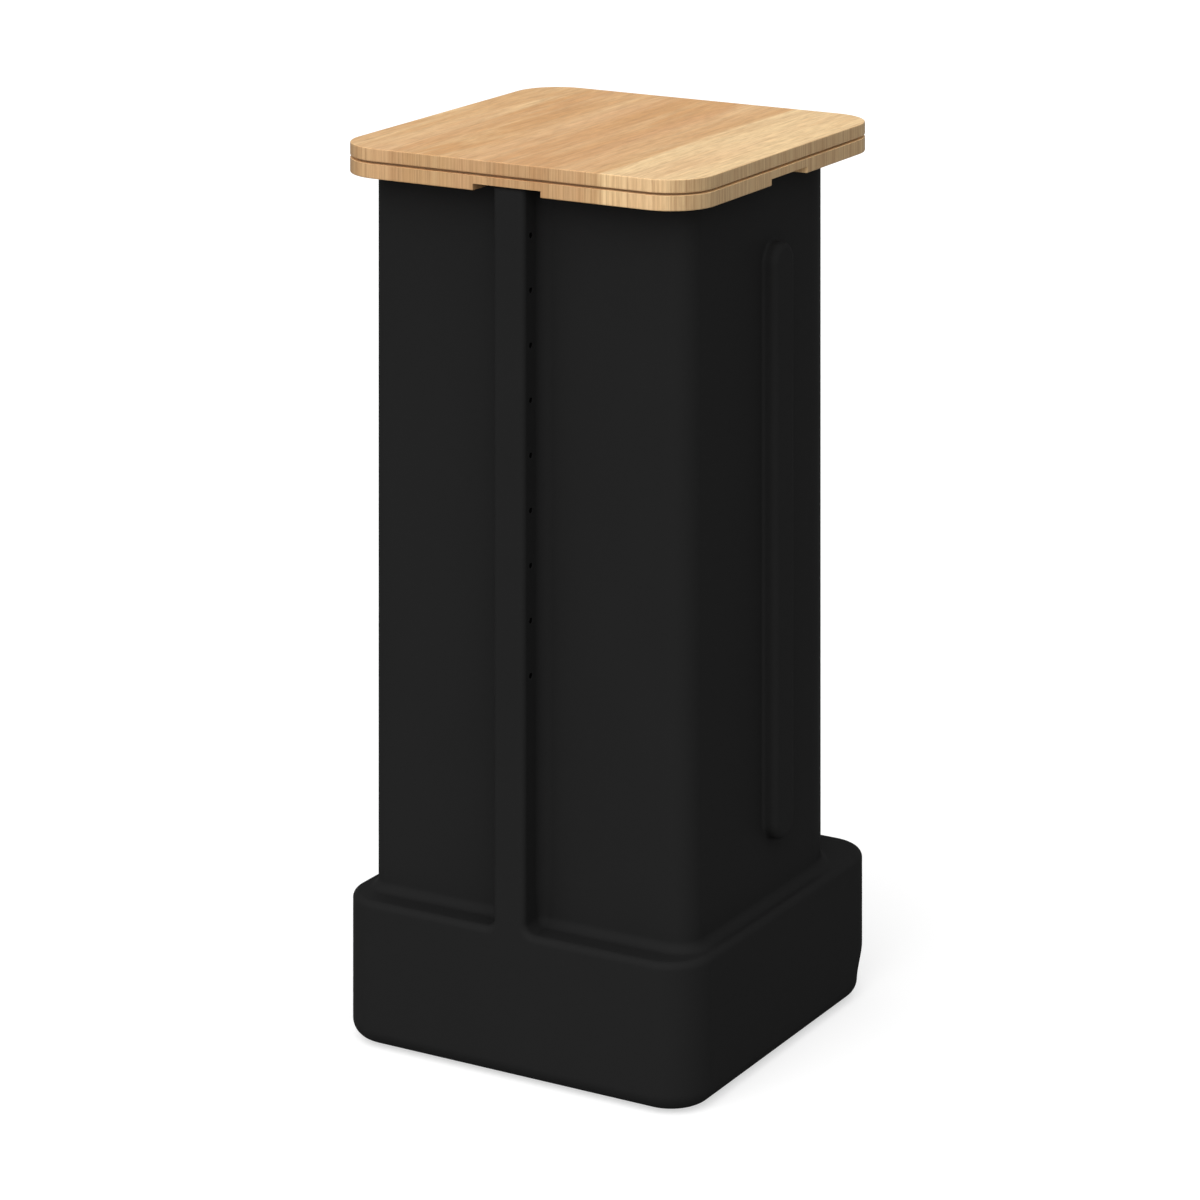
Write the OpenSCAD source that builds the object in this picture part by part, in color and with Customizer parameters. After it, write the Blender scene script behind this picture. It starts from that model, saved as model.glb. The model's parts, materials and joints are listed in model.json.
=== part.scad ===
// Display plinth: black moulded column on a wider base block, with a lift-off top of two oak boards.
// Millimetres. The origin is the middle of the footprint on the floor, +Z is up, and the finned
// front face looks along -Y.

/* [Top] */
// Side of the square top, both boards
top_side = 500; // [460:5:540]
// Corner radius of the boards in plan
top_corner_r = 60; // [40:1:80]
// Thickness of the upper oak board
upper_board_t = 16; // [12:1:22]
// Thickness of the lower oak board
lower_board_t = 18; // [14:1:24]
// Height of the shadow gap between the boards
shadow_gap = 3; // [2:0.5:6]
// How far the spacer sheet stands in from the boards' edges
spacer_setback = 7; // [4:1:20]
// Rounding of the boards' sharp edges
board_edge_r = 1.5; // [0.5:0.25:3]
// Width of the notch under the middle of each side
notch_w = 94; // [60:2:140]
// Height of each notch
notch_h = 8; // [4:1:10]
// How far each notch runs in from the board's edge
notch_run = 100; // [80:5:130]

/* [Locating frame] */
// Width of the locating frame's bars
frame_bar = 32; // [20:1:60]
// Thickness of the locating frame
frame_t = 18; // [12:1:25]
// Clearance all round between the frame and the mouth of the column
frame_play = 2; // [1:0.5:4]

/* [Base block] */
// Overall height of the plinth, floor to top surface
total_h = 1095; // [900:5:1200]
// Side of the square base block
base_side = 492; // [470:1:510]
// Height of the base block
base_h = 176; // [150:1:220]
// Corner radius of the base block in plan
base_corner_r = 55; // [40:1:70]
// Rounding of the bottom edge
base_bottom_r = 21; // [10:1:28]
// Rounding of the top edge
base_top_r = 9; // [4:1:12]
// Depth of the recess that clears a skirting board, along the back
skirting_depth = 14; // [0.5:0.5:18]
// Height at which the skirting recess reaches its full depth
skirting_low = 32; // [26:1:40]
// Height at which the skirting recess ends
skirting_high = 61; // [50:1:80]

/* [Column] */
// Width of the column, side to side
column_w = 448; // [420:2:460]
// How far the column's front and back stand in from the base block
column_inset = 41; // [30:1:60]
// Radius of the column's two front corners
column_front_r = 30; // [20:1:60]
// Radius of the column's two back corners
column_back_r = 95; // [40:1:120]
// Concave fillet round the column's foot
foot_fillet_r = 12; // [6:1:13]
// Wall thickness of the moulding
wall = 6; // [4:0.5:8]
// Width of the flange turned in round the mouth of the column
mouth_flange = 22; // [15:1:40]

/* [Fin] */
// Width of the fin on the front
fin_w = 44; // [36:1:60]
// Rounding of the fin's outer edges
fin_edge_r = 6; // [3:1:10]
// Concave fillet between the fin and the column
fin_root_r = 15; // [8:1:20]
// Rounded inside corner where the fin meets the base block
fin_foot_r = 12; // [6:1:20]
// Gap between the top of the fin and the notch's ceiling
fin_top_gap = 0.5; // [0.5:0.5:2]
// Number of fixing holes through the fin
hole_count = 9; // [3:1:9]
// Diameter of the fixing holes
hole_d = 6; // [4:0.5:8]
// Distance from the top hole to the bottom hole
hole_span = 525; // [300:5:600]
// Height of the top hole below the column's rim
hole_drop = 50; // [40:1:80]
// Distance of the holes behind the fin's front face
hole_setback = 16; // [14:1:20]

/* [Side ribs] */
// Width of the raised rib on each side of the column
rib_w = 50; // [30:1:80]
// How far the rib stands out from the column
rib_proud = 19; // [10:1:20]
// How far the rib sits behind the middle of the column's side
rib_offset = 4; // [0:1:20]
// Distance of the rib's ends from the rim and from the base block
rib_margin = 77; // [50:1:120]
// Rounding of the rib's outer edges
rib_edge_r = 9; // [3:1:10]

/* [Ballast] */
// Side of the square ballast slabs
slab_side = 330; // [250:10:330]
// Thickness of one slab
slab_t = 40; // [25:5:50]
// Height of the moulded pads the slabs rest on
slab_pad_h = 10; // [8:1:15]
// Spacing of the four ballast bolts
slab_bolt_pitch = 270; // [200:10:290]

/* [Feet] */
// Gap that the rubber feet leave under the base block
foot_gap = 3; // [2:0.5:6]
// Diameter of the rubber feet
foot_d = 36; // [28:1:44]
// Depth of the pockets that hold the feet
foot_pocket = 5; // [4:0.5:6]
// Spacing of the four feet
foot_pitch = 370; // [360:2:380]

/* [Hidden] */
$fn = 96;

// Colours
oak = "#d9ae74";
gap_brown = "#5a3a22";
black_plastic = "#1c1c1c";
black_rubber = "#101010";
brass = "#b5913c";
zinc = "#b9bdc0";
concrete = "#8f8d88";
stained_ply = "#2b2622";

// Heights
lower_board_z = total_h - upper_board_t - shadow_gap - lower_board_t;
spacer_z = lower_board_z + lower_board_t;
upper_board_z = spacer_z + shadow_gap;
rim_z = lower_board_z;
base_top_z = foot_gap + base_h;
fin_top_z = rim_z + notch_h - fin_top_gap;
floor_z = foot_gap + wall;
slab_z = floor_z + slab_pad_h;

// Column and fin in plan
column_front = -base_side / 2 + column_inset;
column_back = base_side / 2 - column_inset;
column_d = column_back - column_front;
fin_front = -base_side / 2;
fin_d = column_front - fin_front;
mouth_inset = wall + mouth_flange;
mouth_front_r = 12;
mouth_back_r = max(column_back_r - mouth_inset, mouth_front_r);

// Side rib
rib_low = base_top_z + rib_margin;
rib_high = rim_z - rib_margin;

// Wood screws: shank, head and engagement
screw_r = 2.5;
screw_head_r = 5;
screw_head_h = 3;
board_screw_bite = 10;
board_screw_pitch = 120;
frame_screw_bite = 14;
frame_screw_beside_notch = 18;
frame_screw_from_corner = 45;

// Threaded inserts and their screws
insert_r = 5;
insert_h = 12;
boss_r = 12;
boss_over = 4;
m6_r = 3;
m6_head_r = 6;
m6_head_h = 3;
m8_r = 4;
m8_head_r = 6.5;
m8_head_h = 5.3;
washer_r = 12;
washer_t = 1.6;
slab_gap = 0.5;
slab_corner_r = 10;
pad_r = 18;
tube_wall = 4;
overlap = 1;

// A rounded rectangle with its front at y0 and its back at y1, and its own radius at each end
module plan(w, y0, y1, r_front, r_back) {
    translate([-w / 2, y0 + r_front]) square([w, y1 - r_back - y0 - r_front]);
    translate([-w / 2 + r_front, y0]) square([w - 2 * r_front, r_front + overlap]);
    translate([-w / 2 + r_back, y1 - r_back - overlap]) square([w - 2 * r_back, r_back + overlap]);
    for (side = [-1, 1]) {
        translate([side * (w / 2 - r_front), y0 + r_front]) circle(r_front);
        translate([side * (w / 2 - r_back), y1 - r_back]) circle(r_back);
    }
}

// A centred rounded square
module square_plan(side, r) {
    plan(side, -side / 2, side / 2, r, r);
}

// Half section of a block that reaches out to `reach`, with its lower and upper edges rounded
module edge_section(reach, h, r_low, r_high) {
    square([reach - r_low, h - r_high]);
    translate([0, r_low]) square([reach - r_high, h - r_low]);
    translate([0, r_low]) square([reach, h - r_low - r_high]);
    if (r_low > 0) translate([reach - r_low, r_low]) intersection() {
        circle(r_low);
        translate([0, -r_low]) square(r_low);
    }
    if (r_high > 0) translate([reach - r_high, h - r_high]) intersection() {
        circle(r_high);
        square(r_high);
    }
}

// A straight run of that section, mirrored, `along` long and centred
module edge_run(reach, h, r_low, r_high, along) {
    rotate([90, 0, 0]) linear_extrude(along, center = true) {
        edge_section(reach, h, r_low, r_high);
        mirror([1, 0]) edge_section(reach, h, r_low, r_high);
    }
}

// A rounded rectangular block standing on z = 0, with its lower and upper edges rounded too
module soft_block(w, d, h, r, r_low, r_high) {
    edge_run(w / 2, h, r_low, r_high, d - 2 * r);
    rotate([0, 0, 90]) edge_run(d / 2, h, r_low, r_high, w - 2 * r);
    for (x = [-1, 1], y = [-1, 1])
        translate([x * (w / 2 - r), y * (d / 2 - r), 0])
            rotate_extrude() edge_section(r, h, r_low, r_high);
}

// One oak board lying on z
module board(z, t) {
    translate([0, 0, z]) soft_block(top_side, top_side, t, top_corner_r, board_edge_r, board_edge_r);
}

// Copies its children to the four corners of a square, `pitch` apart
module at_corners(pitch) {
    for (x = [-1, 1], y = [-1, 1]) translate([x * pitch / 2, y * pitch / 2, 0]) children();
}

// Places of the eight screws that join the two boards, all inside the locating frame
module at_board_screws() {
    for (x = [-1, 0, 1], y = [-1, 0, 1])
        if (x != 0 || y != 0)
            translate([x * board_screw_pitch, y * board_screw_pitch, 0]) children();
}

// Places of the screws that hold the locating frame: four to a bar, two each side of the notch
module at_frame_screws() {
    x_bar = column_w / 2 - mouth_inset - frame_play - frame_bar / 2;
    y_bar = column_d / 2 - mouth_inset - frame_play - frame_bar / 2;
    near = notch_w / 2 + frame_screw_beside_notch;
    for (x = [-1, 1], y = [-1, 1]) {
        translate([x * x_bar, y * near, 0]) children();
        translate([x * x_bar, y * (y_bar - frame_screw_from_corner), 0]) children();
        translate([x * near, y * y_bar, 0]) children();
        translate([x * (x_bar - frame_screw_from_corner), y * y_bar, 0]) children();
    }
}

// A countersunk wood screw with its head's flat face at z = 0 and its shank going up
module wood_screw(length) {
    cylinder(h = screw_head_h, r1 = screw_head_r, r2 = screw_r);
    cylinder(h = length, r = screw_r);
}

module upper_board() {
    color(oak) difference() {
        board(upper_board_z, upper_board_t);
        at_board_screws() translate([0, 0, upper_board_z - overlap])
            cylinder(h = board_screw_bite + overlap, r = screw_r);
    }
}

module gap_spacer() {
    side = top_side - 2 * spacer_setback;
    color(gap_brown) translate([0, 0, spacer_z]) difference() {
        linear_extrude(shadow_gap) square_plan(side, top_corner_r - spacer_setback);
        at_board_screws() translate([0, 0, -overlap])
            cylinder(h = shadow_gap + 2 * overlap, r = screw_r);
    }
}

module lower_board() {
    color(oak) difference() {
        board(lower_board_z, lower_board_t);
        for (turn = [0:90:270]) rotate([0, 0, turn])
            translate([-notch_w / 2, top_side / 2 - notch_run, lower_board_z - overlap])
                cube([notch_w, notch_run + overlap, notch_h + overlap]);
        at_board_screws() translate([0, 0, lower_board_z - overlap]) {
            cylinder(h = lower_board_t + 2 * overlap, r = screw_r);
            cylinder(h = overlap, r = screw_head_r);
            translate([0, 0, overlap]) cylinder(h = screw_head_h, r1 = screw_head_r, r2 = screw_r);
        }
        at_frame_screws() translate([0, 0, lower_board_z - overlap])
            cylinder(h = frame_screw_bite + overlap, r = screw_r);
    }
}

module board_screws() {
    color(zinc) at_board_screws() translate([0, 0, lower_board_z])
        wood_screw(lower_board_t + shadow_gap + board_screw_bite);
}

module locating_frame() {
    outer_w = column_w - 2 * (mouth_inset + frame_play);
    outer_d = column_d - 2 * (mouth_inset + frame_play);
    inner_back_r = max(mouth_back_r - frame_bar, mouth_front_r);
    color(stained_ply) translate([0, 0, lower_board_z - frame_t]) difference() {
        linear_extrude(frame_t) difference() {
            plan(outer_w, -outer_d / 2, outer_d / 2, mouth_front_r, mouth_back_r);
            plan(outer_w - 2 * frame_bar, -outer_d / 2 + frame_bar, outer_d / 2 - frame_bar,
                 mouth_front_r, inner_back_r);
        }
        at_frame_screws() translate([0, 0, -overlap]) {
            cylinder(h = frame_t + 2 * overlap, r = screw_r);
            cylinder(h = overlap, r = screw_head_r);
            translate([0, 0, overlap]) cylinder(h = screw_head_h, r1 = screw_head_r, r2 = screw_r);
        }
    }
}

module frame_screws() {
    color(zinc) at_frame_screws() translate([0, 0, lower_board_z - frame_t])
        wood_screw(frame_t + frame_screw_bite);
}

// The base block's outside, or its inside when `skin` is the wall thickness. Its foot is shorter at
// the back than its top, with a slope between them.
module base_volume(skin) {
    side = base_side - 2 * skin;
    r = base_corner_r - skin;
    bottom = foot_gap + skin;
    ledge = skirting_low + skin;
    back = side / 2;
    difference() {
        translate([0, 0, ledge])
            soft_block(side, side, base_top_z - skin - ledge, r, 0, max(base_top_r - skin, 0));
        rotate([90, 0, 90]) linear_extrude(base_side, center = true)
            polygon([[back - skirting_depth, ledge - overlap], [back - skirting_depth, ledge],
                     [back, skirting_high + skin], [back + overlap, skirting_high + skin],
                     [back + overlap, ledge - overlap]]);
    }
    translate([0, -skirting_depth / 2, bottom])
        soft_block(side, side - skirting_depth, ledge + overlap - bottom, r, base_bottom_r - skin, 0);
}

// Concave fillet section, its corner at the origin and its legs along +X and +Y
module fillet_section(r) {
    difference() {
        square(r);
        translate([r, r]) circle(r);
    }
}

// Concave fillet round the column's foot: four straight runs and four corners
module foot_fillet() {
    x_flat = column_w / 2;
    for (side = [-1, 1]) {
        translate([0, 0, base_top_z]) {
            mirror([side < 0 ? 1 : 0, 0, 0])
                translate([x_flat, column_back - column_back_r, 0])
                    rotate([90, 0, 0])
                        linear_extrude(column_d - column_front_r - column_back_r)
                            fillet_section(foot_fillet_r);
            mirror([side < 0 ? 1 : 0, 0, 0]) {
                translate([x_flat - column_front_r, column_front + column_front_r, 0])
                    rotate([0, 0, -90]) rotate_extrude(angle = 90)
                        translate([column_front_r, 0]) fillet_section(foot_fillet_r);
                translate([x_flat - column_back_r, column_back - column_back_r, 0])
                    rotate_extrude(angle = 90)
                        translate([column_back_r, 0]) fillet_section(foot_fillet_r);
            }
        }
    }
    translate([column_w / 2 - column_front_r, column_front, base_top_z])
        rotate([90, 0, -90]) linear_extrude(column_w - 2 * column_front_r)
            fillet_section(foot_fillet_r);
    translate([-column_w / 2 + column_back_r, column_back, base_top_z])
        rotate([90, 0, 90]) linear_extrude(column_w - 2 * column_back_r)
            fillet_section(foot_fillet_r);
}

// The fin's section in plan, with rounded outer edges and concave root fillets
module fin_plan() {
    translate([-fin_w / 2, fin_front + fin_edge_r]) square([fin_w, fin_d - fin_edge_r + wall / 2]);
    translate([-fin_w / 2 + fin_edge_r, fin_front]) square([fin_w - 2 * fin_edge_r, fin_d]);
    for (side = [-1, 1])
        translate([side * (fin_w / 2 - fin_edge_r), fin_front + fin_edge_r]) circle(fin_edge_r);
}

// The two concave fillets between the fin and the column's front
module fin_roots() {
    for (side = [0, 1]) mirror([side, 0])
        translate([fin_w / 2, column_front]) mirror([0, 1]) fillet_section(fin_root_r);
}

module fin() {
    blend_z = base_top_z - 2 * base_top_r;
    translate([0, 0, blend_z]) linear_extrude(fin_top_z - blend_z) fin_plan();
    translate([0, 0, base_top_z - overlap]) linear_extrude(rim_z - base_top_z + overlap) fin_roots();
    for (side = [0, 1]) mirror([side, 0, 0])
        translate([fin_w / 2, column_front + overlap, base_top_z])
            rotate([90, 0, 0]) linear_extrude(fin_d - base_top_r + overlap)
                fillet_section(fin_foot_r);
}

// The raised rib on the +X side, or its hollow when `skin` is the wall thickness. Its ends are round.
module side_rib(skin) {
    w = rib_w - 2 * skin;
    straight = rib_high - rib_low - rib_w;
    root = column_w / 2 - skin - 2 * overlap;
    h = column_w / 2 + rib_proud - skin - root;
    edge_r = rib_edge_r - skin / 2;
    translate([root, rib_offset, (rib_low + rib_high) / 2]) rotate([90, 0, 90]) {
        edge_run(w / 2, h, 0, edge_r, straight);
        for (end = [-1, 1]) translate([0, end * straight / 2, 0])
            rotate_extrude() edge_section(w / 2, h, 0, edge_r);
    }
}

// Everything the moulding fills before it is hollowed
module shell_outside() {
    base_volume(0);
    translate([0, 0, base_top_z - overlap]) linear_extrude(rim_z - base_top_z + overlap)
        plan(column_w, column_front, column_back, column_front_r, column_back_r);
    foot_fillet();
    fin();
    for (side = [0, 1]) mirror([side, 0, 0]) side_rib(0);
}

// The hollow inside the moulding
module shell_inside() {
    base_volume(wall);
    translate([0, 0, base_top_z - 2 * wall])
        linear_extrude(rim_z - wall - base_top_z + 2 * wall)
            plan(column_w - 2 * wall, column_front + wall, column_back - wall,
                 column_front_r - wall, column_back_r - wall);
    translate([0, 0, rim_z - wall - overlap]) linear_extrude(wall + 2 * overlap)
        plan(column_w - 2 * mouth_inset, column_front + mouth_inset, column_back - mouth_inset,
             mouth_front_r, mouth_back_r);
    translate([-fin_w / 2 + wall, fin_front + wall, base_top_z - 2 * wall])
        cube([fin_w - 2 * wall, fin_d + wall, fin_top_z - base_top_z + wall]);
    for (side = [0, 1]) mirror([side, 0, 0]) side_rib(wall);
}

// Copies its children to the fixing holes through the fin, with the axis along X
module at_fin_holes() {
    for (i = [0:hole_count - 1])
        translate([0, fin_front + hole_setback, rim_z - hole_drop - i * hole_span / (hole_count - 1)])
            rotate([0, 90, 0]) children();
}

module body_shell() {
    color(black_plastic) difference() {
        union() {
            difference() {
                shell_outside();
                shell_inside();
            }
            at_fin_holes() cylinder(h = fin_w - wall, r = hole_d / 2 + tube_wall, center = true);
            at_corners(slab_bolt_pitch) translate([0, 0, floor_z - overlap])
                cylinder(h = slab_pad_h + overlap, r = pad_r);
            at_corners(foot_pitch) translate([0, 0, foot_gap + wall - overlap])
                cylinder(h = foot_pocket + insert_h + boss_over - wall + overlap, r = foot_d / 2 + wall);
        }
        at_fin_holes() cylinder(h = fin_w + 2 * overlap, r = hole_d / 2, center = true);
        at_corners(foot_pitch) translate([0, 0, foot_gap - overlap]) {
            cylinder(h = foot_pocket + overlap, r = foot_d / 2);
            cylinder(h = foot_pocket + insert_h + overlap, r = insert_r);
        }
        at_corners(slab_bolt_pitch) translate([0, 0, slab_z - insert_h])
            cylinder(h = insert_h + overlap, r = insert_r);
    }
}

module ballast_slabs() {
    color(concrete) for (i = [0, 1])
        translate([0, 0, slab_z + i * (slab_t + slab_gap)]) difference() {
            linear_extrude(slab_t) square_plan(slab_side, slab_corner_r);
            at_corners(slab_bolt_pitch) translate([0, 0, -overlap])
                cylinder(h = slab_t + 2 * overlap, r = m8_r + overlap);
        }
}

module ballast_washers() {
    color(zinc) at_corners(slab_bolt_pitch)
        translate([0, 0, slab_z + 2 * slab_t + slab_gap]) difference() {
            cylinder(h = washer_t, r = washer_r);
            translate([0, 0, -overlap]) cylinder(h = washer_t + 2 * overlap, r = m8_r);
        }
}

module ballast_bolts() {
    head_z = slab_z + 2 * slab_t + slab_gap + washer_t;
    color(zinc) at_corners(slab_bolt_pitch) {
        translate([0, 0, head_z]) cylinder(h = m8_head_h, r = m8_head_r, $fn = 6);
        translate([0, 0, slab_z - insert_h + overlap])
            cylinder(h = head_z - slab_z + insert_h, r = m8_r);
    }
}

// A threaded insert with its mouth upwards, standing on z = 0
module insert(bore_r) {
    difference() {
        cylinder(h = insert_h, r = insert_r);
        translate([0, 0, -overlap]) cylinder(h = insert_h + 2 * overlap, r = bore_r);
    }
}

module ballast_inserts() {
    color(brass) at_corners(slab_bolt_pitch) translate([0, 0, slab_z - insert_h]) insert(m8_r);
}

module foot_inserts() {
    color(brass) at_corners(foot_pitch) translate([0, 0, foot_gap + foot_pocket]) insert(m6_r);
}

module rubber_feet() {
    h = foot_gap + foot_pocket;
    color(black_rubber) at_corners(foot_pitch) difference() {
        translate([0, 0, h]) mirror([0, 0, 1]) rotate_extrude() edge_section(foot_d / 2, h, 0, 2);
        translate([0, 0, -overlap]) cylinder(h = h + 2 * overlap, r = m6_r);
        translate([0, 0, -overlap]) cylinder(h = m6_head_h + 2 * overlap, r = m6_head_r);
    }
}

module foot_screws() {
    color(zinc) at_corners(foot_pitch) translate([0, 0, overlap]) {
        cylinder(h = m6_head_h, r = m6_head_r);
        cylinder(h = foot_gap + foot_pocket + insert_h - 2 * overlap, r = m6_r);
    }
}

upper_board();
gap_spacer();
lower_board();
board_screws();
locating_frame();
frame_screws();
body_shell();
ballast_slabs();
ballast_bolts();
ballast_washers();
ballast_inserts();
rubber_feet();
foot_screws();
foot_inserts();
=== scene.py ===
"""Looks of the display plinth: a black moulded body with a lift-off top of two oak boards.

Metres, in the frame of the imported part: the floor is z = 0 and the finned front looks along -Y.
"""

import json
import math

import bmesh
import bpy
import numpy as np
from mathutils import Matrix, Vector


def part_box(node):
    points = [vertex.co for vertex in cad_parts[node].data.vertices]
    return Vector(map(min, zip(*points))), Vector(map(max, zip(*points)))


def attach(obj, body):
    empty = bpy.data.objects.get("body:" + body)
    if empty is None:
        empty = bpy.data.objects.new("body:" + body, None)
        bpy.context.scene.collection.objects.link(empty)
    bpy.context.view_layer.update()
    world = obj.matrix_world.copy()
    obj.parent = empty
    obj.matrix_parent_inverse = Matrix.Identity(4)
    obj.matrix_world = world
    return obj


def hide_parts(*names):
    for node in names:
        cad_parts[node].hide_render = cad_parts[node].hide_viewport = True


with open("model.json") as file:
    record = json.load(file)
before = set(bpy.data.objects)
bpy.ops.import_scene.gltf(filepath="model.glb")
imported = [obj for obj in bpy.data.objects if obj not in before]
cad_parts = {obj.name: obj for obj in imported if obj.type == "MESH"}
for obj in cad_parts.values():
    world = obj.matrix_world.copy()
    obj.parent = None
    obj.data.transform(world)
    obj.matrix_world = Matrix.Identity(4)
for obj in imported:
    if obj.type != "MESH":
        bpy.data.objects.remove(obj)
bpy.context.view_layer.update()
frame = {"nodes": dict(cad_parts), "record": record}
MM = 0.001

# Places that come from the frame
SHELL_LOW, SHELL_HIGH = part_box("body_shell")
FOOT_Z = SHELL_LOW.z
FIN_TOP_Z = SHELL_HIGH.z
BASE_HALF = SHELL_HIGH.x
RIM_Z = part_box("lower_board")[0].z
TOP_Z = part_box("upper_board")[1].z

# Base block
BASE_TOP_Z = FOOT_Z + 176 * MM
BASE_CORNER_R = 55 * MM
BASE_BOTTOM_R = 21 * MM
BASE_TOP_R = 9 * MM
SKIRTING_DEPTH = 14.5 * MM
SKIRTING_LOW_Z = 22 * MM
SKIRTING_HIGH_Z = 65 * MM

# Column, fin and side ribs
COLUMN_HALF_W = 224 * MM
COLUMN_HALF_D = 205 * MM
COLUMN_FRONT_R = 30 * MM
COLUMN_BACK_R = 95 * MM
FOOT_FILLET_R = 12 * MM
WALL = 6 * MM
MOUTH_INSET = 28 * MM
MOUTH_FRONT_R = 12 * MM
RIM_EDGE_R = 1.5 * MM
FIN_HALF = 22 * MM
FIN_EDGE_R = 6.5 * MM
FIN_ROOT_R = 15 * MM
FIN_TOP_R = 2 * MM
FIN_BACK_Y = 3 * MM - COLUMN_HALF_D
RIB_HALF = 25 * MM
RIB_PROUD = 19 * MM
RIB_OFFSET = 4 * MM
RIB_EDGE_R = 9 * MM
RIB_ROOT_R = 4 * MM
RIB_MARGIN = 77 * MM
HOLLOW_TOP_R = 2 * MM

# Heights over the base block's top between which the outer edge and the fin's root change radius
EDGE_CHANGE = -10 * MM, 25 * MM
ROOT_CHANGE = 15 * MM, 45 * MM

# Laps, which keep joined solids from meeting in one plane: the column starts inside the base block,
# the fin's head below the rim, and the pads and bosses inside the floor
COLUMN_LOW_Z = FOOT_Z + 30 * MM
FIN_HEAD_LOW_Z = RIM_Z - 10 * MM
PAD_LOW_Z = FOOT_Z + 2 * MM

# Holes through the fin
HOLES = [m for m in frame["record"]["mounts"] if m["name"].startswith("fin_hole")]
HOLE_R = HOLES[0]["dims"]["r_mm"] * MM
HOLE_CHAMFER = 0.6 * MM
HOLE_SIDES = 32

# Oak boards
BOARD_CORNER_R = 60 * MM
BOARD_EDGE_R = 1.5 * MM
GAP_EDGE_R = 0.5 * MM
NOTCH_HALF = 47 * MM
NOTCH_H = 8 * MM
NOTCH_RUN = 100 * MM
NOTCH_CORNER_R = 6 * MM
NOTCH_EDGE_R = 0.4 * MM

# Floor of the moulding: pads under the ballast, and bosses and pockets for the feet
PAD_AT, PAD_R, PAD_H = 135 * MM, 18 * MM, 10 * MM
BOSS_AT, BOSS_R, BOSS_H = 185 * MM, 24 * MM, 21 * MM
POCKET_R, POCKET_H = 18 * MM, 5 * MM


# ---------------------------------------------------------- solids as distances, negative inside


def smooth(value, start, stop):
    """0 at start, 1 at stop, with a smooth turn at both."""
    t = np.clip((value - start) / (stop - start), 0, 1)
    return t * t * (3 - 2 * t)


def rounded_rect(x, y, half_x, half_y, r):
    """A centred rectangle in plan, with corner radius r."""
    qx, qy = abs(x) - half_x + r, abs(y) - half_y + r
    return np.hypot(np.maximum(qx, 0), np.maximum(qy, 0)) + np.minimum(np.maximum(qx, qy), 0) - r


def meet(a, b, r):
    """What two solids share, with the edge between their surfaces rounded to radius r."""
    return np.minimum(-r, np.maximum(a, b)) + np.hypot(np.maximum(a + r, 0), np.maximum(b + r, 0))


def join(a, b, r):
    """Two solids as one, with a concave fillet of radius r between their surfaces."""
    return np.maximum(r, np.minimum(a, b)) - np.hypot(np.maximum(r - a, 0), np.maximum(r - b, 0))


def base_plan(x, y, z):
    """The base block's outline. Its back edge moves in near the floor, to clear a skirting board."""
    half_recess = SKIRTING_DEPTH / 2 * smooth(z, SKIRTING_HIGH_Z, SKIRTING_LOW_Z)
    return rounded_rect(x, y + half_recess, BASE_HALF, BASE_HALF - half_recess, BASE_CORNER_R)


def column_plan(x, y, inset=0.0):
    """The column's outline, or one set in from it."""
    r = np.where(y < 0, COLUMN_FRONT_R, COLUMN_BACK_R) - inset
    r = np.maximum(r, MOUTH_FRONT_R)
    return rounded_rect(x, y, COLUMN_HALF_W - inset, COLUMN_HALF_D - inset, r)


def block_with_fin(x, y, z):
    """The base block, and the fin that rises flush with its front."""
    fin = meet(abs(x) - FIN_HALF, z - FIN_TOP_Z, FIN_TOP_R)
    fin = meet(fin, y - FIN_BACK_Y, FIN_TOP_R / 2)
    up = join(z - BASE_TOP_Z, fin, FOOT_FILLET_R)
    rise = smooth(z - BASE_TOP_Z, *EDGE_CHANGE)
    edge_r = BASE_TOP_R + (FIN_EDGE_R - BASE_TOP_R) * rise
    return meet(meet(base_plan(x, y, z), FOOT_Z - z, BASE_BOTTOM_R), up, edge_r)


def side_ribs(x, y, z, skin):
    """The round-ended ribs on both sides, or their hollows when skin is the wall thickness."""
    low = BASE_TOP_Z + RIB_MARGIN + RIB_HALF
    high = RIM_Z - RIB_MARGIN - RIB_HALF
    outline = np.hypot(y - RIB_OFFSET, z - np.clip(z, low, high)) - RIB_HALF
    return meet(outline + skin, abs(x) - COLUMN_HALF_W - RIB_PROUD + skin, RIB_EDGE_R)


def outside(x, y, z):
    """The moulding as if it were solid. Only the fin's head rises above the rim."""
    block = block_with_fin(x, y, z)
    column = np.maximum(column_plan(x, y), COLUMN_LOW_Z - z)
    rise = smooth(z - BASE_TOP_Z, *ROOT_CHANGE)
    root_r = FOOT_FILLET_R + (FIN_ROOT_R - FOOT_FILLET_R) * rise
    whole = join(join(block, column, root_r), side_ribs(x, y, z, 0), RIB_ROOT_R)
    fin_head = np.maximum(block, FIN_HEAD_LOW_Z - z)
    return np.minimum(meet(whole, z - RIM_Z, RIM_EDGE_R), fin_head)


def inside(x, y, z):
    """The moulding's hollow, with its mouth at the top of the column."""
    base = meet(base_plan(x, y, z), z - BASE_TOP_Z, BASE_TOP_R)
    base = meet(base, FOOT_Z - z, BASE_BOTTOM_R) + WALL
    column = meet(column_plan(x, y, WALL), z - RIM_Z + WALL, HOLLOW_TOP_R)
    column = np.maximum(column, BASE_TOP_Z - 2 * WALL - z)
    mouth = np.maximum(column_plan(x, y, MOUTH_INSET), RIM_Z - 2 * WALL - z)
    return np.minimum(np.minimum(base, column), np.minimum(mouth, side_ribs(x, y, z, WALL)))


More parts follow.
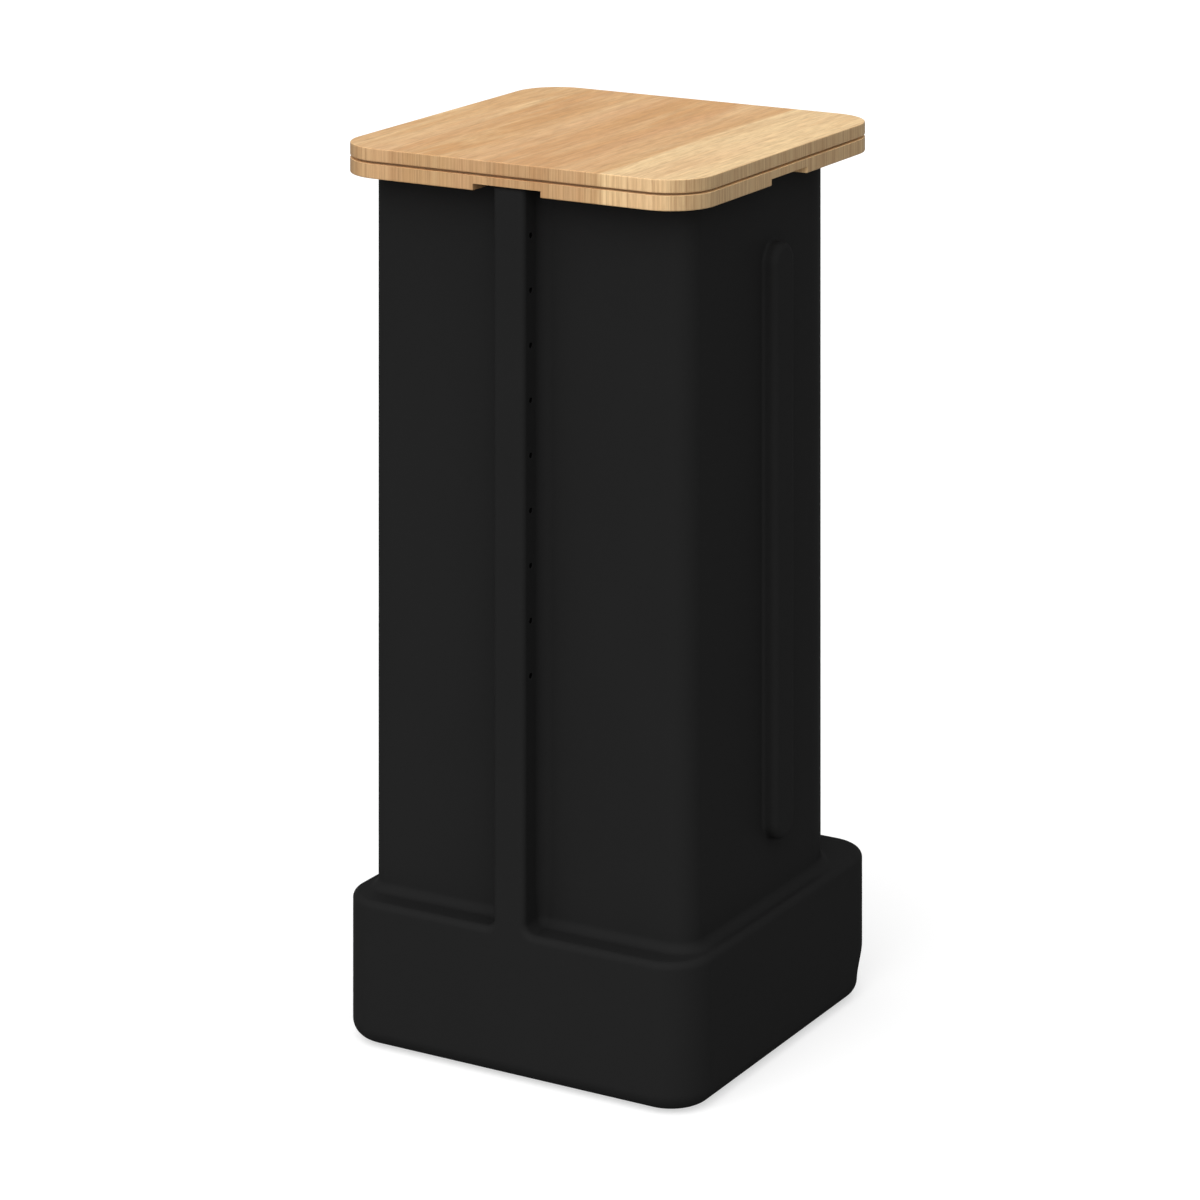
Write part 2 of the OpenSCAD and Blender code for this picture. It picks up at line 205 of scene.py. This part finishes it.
def body(x, y, z):
    """The whole moulding, hollow, without the holes in its fin."""
    shell = meet(outside(x, y, z), -inside(x, y, z), RIM_EDGE_R)
    pad = np.hypot(abs(x) - PAD_AT, abs(y) - PAD_AT) - PAD_R
    pad = np.maximum(np.maximum(pad, z - FOOT_Z - WALL - PAD_H), PAD_LOW_Z - z)
    boss_axis = np.hypot(abs(x) - BOSS_AT, abs(y) - BOSS_AT)
    boss = np.maximum(np.maximum(boss_axis - BOSS_R, z - FOOT_Z - BOSS_H), PAD_LOW_Z - z)
    pocket = np.maximum(boss_axis - POCKET_R, z - FOOT_Z - POCKET_H)
    return np.maximum(np.minimum(shell, np.minimum(pad, boss)), -pocket)


def drilled_body(x, y, z):
    """The moulding with the chamfered holes through its fin."""
    _, hole_y, top = HOLES[0]["pos_m"]
    bottom = HOLES[-1]["pos_m"][2]
    pitch = (top - bottom) / (len(HOLES) - 1)
    nearest = top - pitch * np.clip(np.round((top - z) / pitch), 0, len(HOLES) - 1)
    r = HOLE_R + np.clip(abs(x) - FIN_HALF + HOLE_CHAMFER, 0, 2 * HOLE_CHAMFER)
    hole = np.hypot(y - hole_y, z - nearest) - r
    return np.maximum(body(x, y, z), -hole)


# ---------------------------------------------------------- distances to meshes


def ruler(ends, steps):
    """Grid lines through the ends, at about the given step in each stretch, all in millimetres."""
    parts = [
        np.linspace(a, b, max(1, round((b - a) / step)), endpoint=False)
        for a, b, step in zip(ends, ends[1:], steps)
    ]
    return np.append(np.concatenate(parts), ends[-1]) * MM


def gradient(solid, p, h=0.01 * MM):
    """The unit direction in which the distance grows fastest, at each point."""
    g = np.empty_like(p)
    for axis in range(3):
        step = np.zeros(3)
        step[axis] = h
        g[:, axis] = solid(*(p + step).T) - solid(*(p - step).T)
    return g / np.maximum(np.linalg.norm(g, axis=1, keepdims=True), 1e-12)


def surface_net(solid, lines):
    """Points and quads of a solid's surface, one point for each grid cell that it passes through."""
    values = solid(lines[0][:, None, None], lines[1][None, :, None], lines[2][None, None, :])
    shape = np.array(values.shape)
    cells, places, quads = [], [], []
    for axis in range(3):
        low = np.take(values, range(shape[axis] - 1), axis)
        high = np.take(values, range(1, shape[axis]), axis)
        at = np.argwhere((low < 0) != (high < 0))
        lo, hi = low[tuple(at.T)], high[tuple(at.T)]
        place = np.stack([lines[k][at[:, k]] for k in range(3)], 1)
        ahead = lines[axis][at[:, axis] + 1]
        place[:, axis] += (ahead - place[:, axis]) * lo / (lo - hi)
        ring = []
        for da, db in ((-1, -1), (0, -1), (0, 0), (-1, 0)):
            cell = at.copy()
            cell[:, (axis + 1) % 3] += da
            cell[:, (axis + 2) % 3] += db
            ring.append(np.ravel_multi_index(tuple(cell.T), shape))
            cells.append(ring[-1])
            places.append(place)
        ring = np.stack(ring, 1)
        quads.append(np.where((lo < 0)[:, None], ring, ring[:, ::-1]))
    names, index = np.unique(np.concatenate(cells), return_inverse=True)
    places = np.concatenate(places)
    count = np.bincount(index)
    points = np.stack([np.bincount(index, places[:, k]) / count for k in range(3)], 1)
    return points, np.searchsorted(names, np.concatenate(quads))


def settle(solid, points, rounds=5):
    """Moves points onto the solid's surface."""
    for _ in range(rounds):
        points = points - gradient(solid, points) * solid(*points.T)[:, None]
    return points


def mesh_piece(name, points, faces, material, body_name, slot):
    """A mesh object that rides on a body."""
    piece = loose_object(name, [tuple(p) for p in points], [tuple(f) for f in faces])
    piece.data.materials.append(material)
    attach(piece, body_name)
    return piece


def merge_flat_faces(mesh):
    """Joins faces that lie in one plane, which leaves the shape as it is."""
    bm = bmesh.new()
    bm.from_mesh(mesh)
    bmesh.ops.dissolve_limit(bm, angle_limit=math.radians(0.02), verts=bm.verts, edges=bm.edges)
    bm.to_mesh(mesh)
    bm.free()


def cut(piece, cutters):
    """Takes the cutters out of a piece, for good."""
    for cutter in cutters:
        modifier = piece.modifiers.new("cut", "BOOLEAN")
        modifier.object = cutter
        modifier.solver = "MANIFOLD"
    dg = bpy.context.evaluated_depsgraph_get()
    old = piece.data
    piece.data = bpy.data.meshes.new_from_object(piece.evaluated_get(dg), depsgraph=dg)
    piece.data.name = old.name
    piece.modifiers.clear()
    bpy.data.meshes.remove(old)
    for cutter in cutters:
        bpy.data.objects.remove(cutter)


def loft(rings):
    """Points and faces of a closed solid through rings of equal length, capped at both ends."""
    count = len(rings[0])
    faces = [tuple(reversed(range(count)))]
    for level in range(len(rings) - 1):
        for i in range(count):
            j = (i + 1) % count
            start = level * count
            faces.append((start + i, start + j, start + count + j, start + count + i))
    faces.append(tuple(range((len(rings) - 1) * count, len(rings) * count)))
    return [p for ring in rings for p in ring], faces


def loose_object(name, points, faces):
    """A mesh object in the scene, not yet on a body."""
    mesh = bpy.data.meshes.new(name)
    mesh.from_pydata(points, [], faces)
    made = bpy.data.objects.new(name, mesh)
    bpy.context.scene.collection.objects.link(made)
    return made


def exact_normals(mesh, solid, inward=0.05 * MM, flat_within=math.radians(0.2)):
    """Gives each face corner the solid's own normal, read a little way inside the face.

    A face that lies flat against the solid at most of its corners keeps its own normal at them all.
    """
    count = len(mesh.loops)
    corner = np.empty(count, int)
    mesh.loops.foreach_get("vertex_index", corner)
    points = np.empty(len(mesh.vertices) * 3)
    mesh.vertices.foreach_get("co", points)
    points = points.reshape(-1, 3)[corner]
    faces = len(mesh.polygons)
    sides, start = np.empty(faces, int), np.empty(faces, int)
    mesh.polygons.foreach_get("loop_total", sides)
    mesh.polygons.foreach_get("loop_start", start)
    face_normals = np.empty(faces * 3)
    mesh.polygons.foreach_get("normal", face_normals)
    ahead, behind = np.arange(count) + 1, np.arange(count) - 1
    ahead[start + sides - 1] = start
    behind[start] = start + sides - 1
    along = points[ahead] - points[behind]
    face_normals = np.repeat(face_normals.reshape(-1, 3), sides, 0)
    into = np.cross(face_normals, along)
    into /= np.maximum(np.linalg.norm(into, axis=1, keepdims=True), 1e-9)
    normals = gradient(solid, points + into * inward, 0.004 * MM)
    aligned = (normals * face_normals).sum(1) > math.cos(flat_within)
    flat = np.repeat(np.add.reduceat(aligned.astype(int), start) * 2 > sides, sides)
    mesh.shade_smooth()
    mesh.normals_split_custom_set(np.where(flat[:, None], face_normals, normals))


# ---------------------------------------------------------- material helpers


def new_material(name):
    material = bpy.data.materials.new(name)
    material.use_nodes = True
    return material, material.node_tree


def add(tree, kind, inputs=(), **settings):
    """A node with its settings, and its inputs given as values or as the sockets that feed them."""
    made = tree.nodes.new(kind)
    for key, value in settings.items():
        setattr(made, key, value)
    for key, value in dict(inputs).items():
        if isinstance(value, bpy.types.NodeSocket):
            tree.links.new(value, made.inputs[key])
        else:
            made.inputs[key].default_value = value
    return made


def calc(tree, operation, a, b=0.0, clamp=False):
    made = add(tree, "ShaderNodeMath", {0: a, 1: b}, operation=operation, use_clamp=clamp)
    return made.outputs[0]


def mix(tree, share, a, b, blend="MIX"):
    made = add(tree, "ShaderNodeMix", data_type="RGBA", blend_type=blend)
    for key, value in ((0, share), (6, a), (7, b)):
        if isinstance(value, bpy.types.NodeSocket):
            tree.links.new(value, made.inputs[key])
        else:
            made.inputs[key].default_value = value
    return made.outputs[2]


def scale_colour(tree, colour, factor):
    made = add(tree, "ShaderNodeVectorMath", {0: colour, "Scale": factor}, operation="SCALE")
    return made.outputs[0]


def mix_value(tree, share, a, b):
    return add(tree, "ShaderNodeMix", {0: share, 2: a, 3: b}).outputs[0]


def spread(tree, value, low, high, to_low=0.0, to_high=1.0):
    """Maps low..high to to_low..to_high, clamped."""
    made = add(tree, "ShaderNodeMapRange", {"Value": value, "From Min": low, "From Max": high})
    made.inputs["To Min"].default_value = to_low
    made.inputs["To Max"].default_value = to_high
    return made.outputs[0]


def place(tree):
    return add(tree, "ShaderNodeTexCoord").outputs["Object"]


def noise(tree, where, per_metre, detail=2.0, roughness=0.5, distortion=0.0):
    """Noise with its own number of features per metre along X, Y and Z."""
    scaled = add(tree, "ShaderNodeVectorMath", {0: where, 1: per_metre}, operation="MULTIPLY")
    inputs = {
        "Vector": scaled.outputs[0],
        "Scale": 1.0,
        "Detail": detail,
        "Roughness": roughness,
        "Distortion": distortion,
    }
    return add(tree, "ShaderNodeTexNoise", inputs).outputs["Fac"]


def bump(tree, height, depth, strength=1.0):
    made = add(tree, "ShaderNodeBump", {"Height": height, "Distance": depth, "Strength": strength})
    return made.outputs["Normal"]


def shade(tree, **inputs):
    """Sets the inputs of the material's Principled shader."""
    shader = tree.nodes["Principled BSDF"]
    for key, value in inputs.items():
        socket = shader.inputs[key.replace("_", " ")]
        if isinstance(value, bpy.types.NodeSocket):
            tree.links.new(value, socket)
        else:
            socket.default_value = value


# ---------------------------------------------------------- materials

# The oak boards' staves, from -X to +X: width, and how pale each one is
STAVES = ((80, 0.42), (78, 0.12), (60, 0.25), (92, 0.05), (67, 0.3), (123, 0.97))
JOINT_BLEND = 3 * MM
OAK_DEEP = (0.63, 0.345, 0.142, 1)
OAK_PALE = (0.86, 0.62, 0.335, 1)
OAK_PINK = (0.72, 0.415, 0.22, 1)
OAK_LINE = (0.36, 0.19, 0.08, 1)


def stave_paleness(tree, x):
    """A value that runs across the boards and changes at each joint between two staves."""
    width = sum(w for w, _ in STAVES) * MM
    share = calc(tree, "ADD", calc(tree, "DIVIDE", x, width), 0.5)
    ramp = add(tree, "ShaderNodeValToRGB", {0: share})
    stops = ramp.color_ramp.elements
    edge = 0.0
    for stave, paleness in STAVES:
        next_edge = edge + stave * MM
        for at in (edge + JOINT_BLEND, next_edge - JOINT_BLEND):
            stops.new(at / width).color = (paleness, paleness, paleness, 1)
        edge = next_edge
    stops[0].color = stops[1].color
    stops[-1].color = stops[-2].color
    return ramp.outputs[0]


def oak_material():
    """Staves of light oak with their grain along Y, upright streaks on the boards' edges, and painted
    shade that darkens the edges.
    """
    material, tree = new_material("oak")
    where = place(tree)
    normal = add(tree, "ShaderNodeNewGeometry").outputs["True Normal"]
    facing = add(tree, "ShaderNodeSeparateXYZ", {0: normal}).outputs
    flat = spread(tree, calc(tree, "ABSOLUTE", facing[2]), 0.6, 0.75)
    side = spread(tree, calc(tree, "ABSOLUTE", facing[0]), 0.3, 0.9)

    def choose(on_edge, on_flat):
        return mix_value(tree, flat, on_edge, on_flat)

    # staves, whose joints wander a little
    wander = spread(tree, noise(tree, where, (1.5, 3, 1), 1), 0.3, 0.7, -4 * MM, 4 * MM)
    across = add(tree, "ShaderNodeSeparateXYZ", {0: where}).outputs[0]
    pale = stave_paleness(tree, calc(tree, "ADD", across, wander))
    pale = choose(spread(tree, pale, 0, 1, 0.14, 0.80), pale)
    # broad figure
    figure = spread(tree, noise(tree, where, (34, 3, 8), 4, 0.6, 1.5), 0.3, 0.7, -0.32, 0.32)
    edge_figure = spread(tree, noise(tree, where, (55, 55, 2), 2, 0.6), 0.3, 0.7, -0.16, 0.16)
    tone = calc(tree, "ADD", pale, choose(edge_figure, figure), clamp=True)
    colour = mix(tree, tone, OAK_DEEP, OAK_PALE)
    blush = spread(tree, noise(tree, where, (11, 1.1, 2), 2, 0.5), 0.45, 0.7, 0, 0.45)
    colour = mix(tree, blush, colour, OAK_PINK)
    # growth rings and pores
    rings = spread(tree, noise(tree, where, (230, 6, 60), 3, 0.6, 0.6), 0.42, 0.8, 0, 0.4)
    edge_rings = noise(tree, where, (420, 420, 9), 3, 0.65)
    lines = choose(spread(tree, edge_rings, 0.42, 0.68, 0, 0.72), rings)
    colour = mix(tree, lines, colour, OAK_LINE)
    pores = spread(tree, noise(tree, where, (1500, 60, 700), 1, 0.5), 0.62, 0.75, 0, 0.28)
    edge_pores = spread(tree, noise(tree, where, (1300, 1300, 70), 1, 0.5), 0.62, 0.75, 0, 0.3)
    dashes = choose(edge_pores, pores)
    colour = mix(tree, dashes, colour, OAK_LINE)
    flecks = spread(tree, noise(tree, where, (330, 40, 90), 1, 0.5), 0.48, 0.7, 0, 0.24)
    colour = mix(tree, choose(0.022, flecks), colour, OAK_LINE)
    # fibres, a mottled top, and painted shade that darkens the edges, most of all on the two sides that
    # face along X
    fibres = choose(edge_rings, noise(tree, where, (900, 22, 300), 2, 0.6))
    shine = spread(tree, fibres, 0.3, 0.7, 0.93, 1.05)
    mottle = choose(1.0, spread(tree, noise(tree, where, (110, 26, 40), 4, 0.65), 0.3, 0.7, 0.93, 1.07))
    painted_edge_shade = spread(tree, pale, 0, 1, 0.67, 0.97)
    painted_edge_shade = calc(tree, "MULTIPLY", painted_edge_shade, mix_value(tree, side, 1.0, 0.67))
    light = calc(tree, "MULTIPLY", calc(tree, "MULTIPLY", shine, mottle), choose(painted_edge_shade, 1.0))
    colour = scale_colour(tree, colour, light)
    height = calc(tree, "SUBTRACT", fibres, calc(tree, "MULTIPLY", dashes, 2.0))
    shade(
        tree,
        Base_Color=colour,
        Roughness=spread(tree, fibres, 0.3, 0.7, 0.5, 0.62),
        Specular_IOR_Level=0.3,
        Normal=bump(tree, height, 0.08 * MM),
    )
    return material


def painted_hole_shade_mask(tree, where):
    """1 on the walls of the fin's holes, the only surfaces inside the fin, and 0 elsewhere: where the
    holes get painted shade.
    """
    xyz = add(tree, "ShaderNodeSeparateXYZ", {0: where}).outputs
    _, hole_y, top_hole_z = HOLES[0]["pos_m"]
    low_hole_z = HOLES[-1]["pos_m"][2]
    under_skin, beside, beyond = 0.3 * MM, 1 * MM, 10 * MM
    off_axis = calc(tree, "ABSOLUTE", calc(tree, "SUBTRACT", xyz[1], hole_y))
    tests = (
        calc(tree, "LESS_THAN", calc(tree, "ABSOLUTE", xyz[0]), FIN_HALF - under_skin),
        calc(tree, "LESS_THAN", off_axis, HOLE_R + beside),
        calc(tree, "LESS_THAN", xyz[2], top_hole_z + beyond),
        calc(tree, "GREATER_THAN", xyz[2], low_hole_z - beyond),
    )
    inside_all = 1.0
    for test in tests:
        inside_all = calc(tree, "MULTIPLY", inside_all, test)
    return inside_all


def plastic_material():
    """Black moulded plastic with a fine, even grain, painted near-black inside the fin's holes as
    painted shade.
    """
    material, tree = new_material("black_plastic")
    where = place(tree)
    grain = noise(tree, where, (1600, 1600, 1600), 2, 0.6)
    cloud = noise(tree, where, (9, 9, 5), 3, 0.6)
    tone = mix(tree, cloud, (0.0126, 0.0126, 0.0126, 1), (0.0142, 0.0142, 0.0142, 1))
    shade(
        tree,
        # the walls of the fin's holes are painted near-black: painted shade inside the holes
        Base_Color=mix(tree, painted_hole_shade_mask(tree, where), tone, (0.0008, 0.0008, 0.0008, 1)),
        Roughness=spread(tree, cloud, 0.3, 0.7, 0.56, 0.64),
        Specular_IOR_Level=0.015,
        Normal=bump(tree, grain, 0.05 * MM, 0.5),
    )
    return material


def fibreboard_material():
    """The brown sheet between the boards."""
    material, tree = new_material("brown_core")
    where = place(tree)
    fibres = noise(tree, where, (500, 500, 900), 3, 0.7)
    shade(
        tree,
        Base_Color=mix(tree, fibres, (0.21, 0.128, 0.066, 1), (0.32, 0.205, 0.114, 1)),
        Roughness=0.85,
        Specular_IOR_Level=0.2,
        Normal=bump(tree, fibres, 0.1 * MM),
    )
    return material


def ply_material():
    """Black-stained plywood: long grain on its faces, and its plies along its edges."""
    material, tree = new_material("stained_ply")
    where = place(tree)
    grain = noise(tree, where, (20, 420, 700), 3, 0.6)
    plies = noise(tree, where, (0.5, 0.5, 620), 0, 0.5)
    stain = mix(tree, grain, (0.012, 0.010, 0.008, 1), (0.05, 0.038, 0.028, 1))
    shade(
        tree,
        Base_Color=mix(tree, spread(tree, plies, 0.4, 0.6, 0, 0.5), stain, (0.03, 0.02, 0.012, 1)),
        Roughness=0.7,
        Normal=bump(tree, grain, 0.1 * MM),
    )
    return material


def concrete_material():
    """Cast concrete with fine sand, soft stains, and a few voids that are painted dark as painted
    shade.
    """
    material, tree = new_material("concrete")
    where = place(tree)
    sand = noise(tree, where, (900, 900, 900), 3, 0.7)
    stains = noise(tree, where, (14, 14, 14), 4, 0.6)
    voids = spread(tree, noise(tree, where, (160, 160, 160), 0), 0.68, 0.74)
    tone = mix(tree, stains, (0.20, 0.19, 0.175, 1), (0.36, 0.35, 0.33, 1))
    tone = mix(tree, spread(tree, sand, 0.3, 0.7, 0, 0.35), tone, (0.42, 0.40, 0.37, 1))
    height = calc(tree, "SUBTRACT", sand, calc(tree, "MULTIPLY", voids, 3.0))
    shade(
        tree,
        # the voids are painted dark: painted shade inside them
        Base_Color=mix(tree, voids, tone, (0.07, 0.065, 0.06, 1)),
        Roughness=0.92,
        Normal=bump(tree, height, 0.3 * MM),
    )
    return material


def rubber_material():
    """Matt black rubber."""
    material, tree = new_material("rubber")
    where = place(tree)
    skin = noise(tree, where, (1100, 1100, 1100), 2, 0.6)
    shade(
        tree,
        Base_Color=mix(tree, skin, (0.012, 0.012, 0.012, 1), (0.024, 0.024, 0.023, 1)),
        Roughness=0.85,
        Normal=bump(tree, skin, 0.05 * MM),
    )
    return material


def metal_material(name, dark, light, roughness):
    """A plated or turned metal with soft mottling and fine scratches."""
    material, tree = new_material(name)
    where = place(tree)
    mottle = noise(tree, where, (120, 120, 120), 3, 0.6)
    scratches = noise(tree, where, (200, 2600, 2600), 2, 0.6)
    shade(
        tree,
        Base_Color=mix(tree, mottle, dark, light),
        Metallic=1.0,
        Roughness=spread(tree, mottle, 0.3, 0.7, roughness, roughness + 0.15),
        Normal=bump(tree, scratches, 0.02 * MM),
    )
    return material


# ---------------------------------------------------------- pieces


def body_piece(material):
    """The black moulding."""
    half_x = ruler((1.3, 14, 39, 125, 195, 251), (4, 2.1, 10.8, 4.4, 2.4))
    x = np.concatenate([-half_x[::-1], half_x])
    y = ruler((-251, -190, -164, -37, 37, 107, 190, 251), (2.4, 4.3, 12, 2.5, 12, 4.2, 2.5))
    z = ruler(
        (1.4, 28.4, 74, 163, 201, 252, 291, 949, 987, 1049, 1071),
        (3, 4.1, 22, 1.9, 17, 2.6, 33, 2.7, 16, 1.3),
    )
    points, quads = surface_net(body, (x, y, z))
    points = settle(body, points)
    piece = mesh_piece("body_moulding", points, quads, material, "plinth_body", "black_plastic")
    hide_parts("body_shell")
    merge_flat_faces(piece.data)
    cut(piece, [hole_cutter(m["pos_m"]) for m in HOLES])
    exact_normals(piece.data, drilled_body)


def hole_cutter(middle):
    """A bar along X for one of the fin's holes, flared where it leaves the fin on each side."""
    over = 4 * MM
    stations = [(-FIN_HALF - over, HOLE_R + HOLE_CHAMFER + over), (HOLE_CHAMFER - FIN_HALF, HOLE_R)]
    stations += [(-x, r) for x, r in reversed(stations)]
    turns = [2 * math.pi * i / HOLE_SIDES for i in range(HOLE_SIDES)]
    rings = []
    for x, r in stations:
        rings.append([(x, middle[1] + r * math.cos(a), middle[2] + r * math.sin(a)) for a in turns])
    return loose_object("hole_cutter", *loft(rings))


def rounded_square(half, r, inset, z, arc_steps=14):
    """Points round a rounded square at height z, set in from its edge."""
    ring = []
    for corner, (sx, sy) in enumerate(((1, 1), (-1, 1), (-1, -1), (1, -1))):
        for i in range(arc_steps + 1):
            a = math.pi / 2 * (corner + i / arc_steps)
            x = sx * (half - r) + (r - inset) * math.cos(a)
            y = sy * (half - r) + (r - inset) * math.sin(a)
            ring.append((x, y, z))
    return ring


def notch_cutter(turn, edge, low):
    """A block that cuts the notch under one side of the lower board, with rounded inner corners."""
    r, over = NOTCH_CORNER_R, 10 * MM
    plan = [(NOTCH_HALF, edge + over), (-NOTCH_HALF, edge + over)]
    for side, start in ((-1, 180), (1, 270)):
        for i in range(7):
            a = math.radians(start + 15 * i)
            x = side * (NOTCH_HALF - r) + r * math.cos(a)
            plan.append((x, edge - NOTCH_RUN + r + r * math.sin(a)))
    rings = [[(x, y, z) for x, y in plan] for z in (low - over, low + NOTCH_H)]
    cutter = loose_object("notch_cutter", *loft(rings))
    cutter.rotation_euler.z = math.radians(90 * turn)
    return cutter


def board_piece(node, material, notched):
    """One oak board with eased edges. The lower one has the four notches, and the gap over it."""
    low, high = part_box(node)
    low_r, high_r = BOARD_EDGE_R, GAP_EDGE_R if notched else BOARD_EDGE_R
    rings = []
    turns = [math.radians(22.5 * i) for i in range(5)]
    for a in turns:
        inset, rise = low_r * (1 - math.sin(a)), low_r * (1 - math.cos(a))
        rings.append(rounded_square(high.x, BOARD_CORNER_R, inset, low.z + rise))
    for a in turns:
        inset, drop = high_r * (1 - math.cos(a)), high_r * (1 - math.sin(a))
        rings.append(rounded_square(high.x, BOARD_CORNER_R, inset, high.z - drop))
    piece = mesh_piece("oak_" + node, *loft(rings), material, "top", "oak")
    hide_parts(node)
    if notched:
        cut(piece, [notch_cutter(turn, high.y, low.z) for turn in range(4)])
        soften = piece.modifiers.new("soften", "BEVEL")
        soften.width = NOTCH_EDGE_R
        soften.segments = 2
        soften.angle_limit = math.radians(60)
    piece.data.shade_smooth()
    flat = piece.modifiers.new("flat", "WEIGHTED_NORMAL")
    flat.weight = 100


def finish_cad_nodes(materials):
    """Gives each CAD node that stays its slot's material."""
    for subpart in frame["record"]["subparts"]:
        mesh = frame["nodes"][subpart["node"]].data
        mesh.materials.clear()
        mesh.materials.append(materials[subpart["material_slot"]])


# ---------------------------------------------------------- stage


# Light: the way to its brightest part, how fast it fades from there, and its strength there and
# in the rest of the surround
KEY_DIRECTION = (0.15, -1.0, 0.75)
KEY_FOCUS = 2.5
KEY_LIGHT = 3.1
SURROUND_LIGHT = 0.4

# Floor: how far it runs, its colours for the light it gives back and for the camera, and a glow that
# only the camera sees, which lightens the shadows
FLOOR_REACH = 40.0
FLOOR_AS_LIGHT = (0.33, 0.33, 0.33, 1)
FLOOR_AS_SEEN = (0.55, 0.55, 0.55, 1)
FLOOR_GLOW = 0.55


def make_floor():
    """A pale floor that runs past the horizon."""
    mesh = bpy.data.meshes.new("floor")
    corners = [(x * FLOOR_REACH, y * FLOOR_REACH, 0) for x, y in ((-1, -1), (1, -1), (1, 1), (-1, 1))]
    mesh.from_pydata(corners, [], [(0, 1, 2, 3)])
    floor = bpy.data.objects.new("floor", mesh)
    bpy.context.scene.collection.objects.link(floor)
    material, tree = new_material("floor")
    seen = add(tree, "ShaderNodeLightPath").outputs["Is Camera Ray"]
    colour = mix(tree, seen, FLOOR_AS_LIGHT, FLOOR_AS_SEEN)
    shade(tree, Base_Color=colour, Roughness=0.9, Specular_IOR_Level=0.0)
    glow = calc(tree, "MULTIPLY", seen, FLOOR_GLOW)
    shade(tree, Emission_Color=(1, 1, 1, 1), Emission_Strength=glow)
    mesh.materials.append(material)


def make_surround():
    """A white surround that lights the object like one very large soft box in front of it."""
    world = bpy.data.worlds.new("surround")
    world.use_nodes = True
    tree = world.node_tree
    towards = add(tree, "ShaderNodeTexCoord").outputs["Generated"]
    key = Vector(KEY_DIRECTION).normalized()
    facing = add(tree, "ShaderNodeVectorMath", {0: towards, 1: key}, operation="DOT_PRODUCT")
    glow = calc(tree, "POWER", calc(tree, "MAXIMUM", facing.outputs["Value"], 0.0), KEY_FOCUS)
    light = spread(tree, glow, 0, 1, SURROUND_LIGHT, KEY_LIGHT)
    seen = add(tree, "ShaderNodeLightPath").outputs["Is Camera Ray"]
    strength = mix_value(tree, seen, light, 1.0)
    tree.links.new(strength, tree.nodes["Background"].inputs["Strength"])
    tree.nodes["Background"].inputs["Color"].default_value = (1, 1, 1, 1)
    bpy.context.scene.world = world


# The camera stands level and looks down through a shifted lens, which keeps uprights parallel
CAMERA_AT = Vector((2.6482, -4.6110, TOP_Z + 0.9585))
CAMERA_TURN = math.radians(30)
CAMERA_LENS = 128.55
SENSOR = 36
SHIFT_X = -0.001
SHIFT_Y = -1.035


def make_camera():
    data = bpy.data.cameras.new("camera")
    data.lens = CAMERA_LENS
    data.sensor_width = SENSOR
    data.clip_end = 100
    data.shift_x = SHIFT_X
    camera = bpy.data.objects.new("camera", data)
    camera.location = CAMERA_AT
    camera.rotation_euler = (math.radians(90), 0, CAMERA_TURN)
    bpy.context.scene.collection.objects.link(camera)
    bpy.context.scene.camera = camera
    # the lens is shifted down only while the camera stands here, and is centred anywhere else
    shift = data.driver_add("shift_y")
    shift.driver.type = "SUM"
    place_x = shift.driver.variables.new()
    place_x.type = "TRANSFORMS"
    place_x.targets[0].id = camera
    place_x.targets[0].transform_type = "LOC_X"
    near, far = 10 * MM, 100
    steps = ((CAMERA_AT.x - far, 0.0), (CAMERA_AT.x - near, SHIFT_Y), (CAMERA_AT.x + near, 0.0))
    shift.modifiers.remove(shift.modifiers[0])
    for x, amount in steps:
        shift.keyframe_points.insert(x, amount).interpolation = "CONSTANT"
    shift.extrapolation = "CONSTANT"


MATERIALS = {
    "oak": oak_material(),
    "brown_core": fibreboard_material(),
    "stained_ply": ply_material(),
    "black_plastic": plastic_material(),
    "concrete": concrete_material(),
    "rubber": rubber_material(),
    "zinc": metal_material("zinc", (0.42, 0.43, 0.44, 1), (0.66, 0.67, 0.68, 1), 0.3),
    "brass": metal_material("brass", (0.55, 0.37, 0.12, 1), (0.80, 0.60, 0.25, 1), 0.25),
}
finish_cad_nodes(MATERIALS)
body_piece(MATERIALS["black_plastic"])
board_piece("upper_board", MATERIALS["oak"], notched=False)
board_piece("lower_board", MATERIALS["oak"], notched=True)
make_floor()
make_surround()
make_camera()
bpy.context.scene.view_settings.view_transform = "Standard"
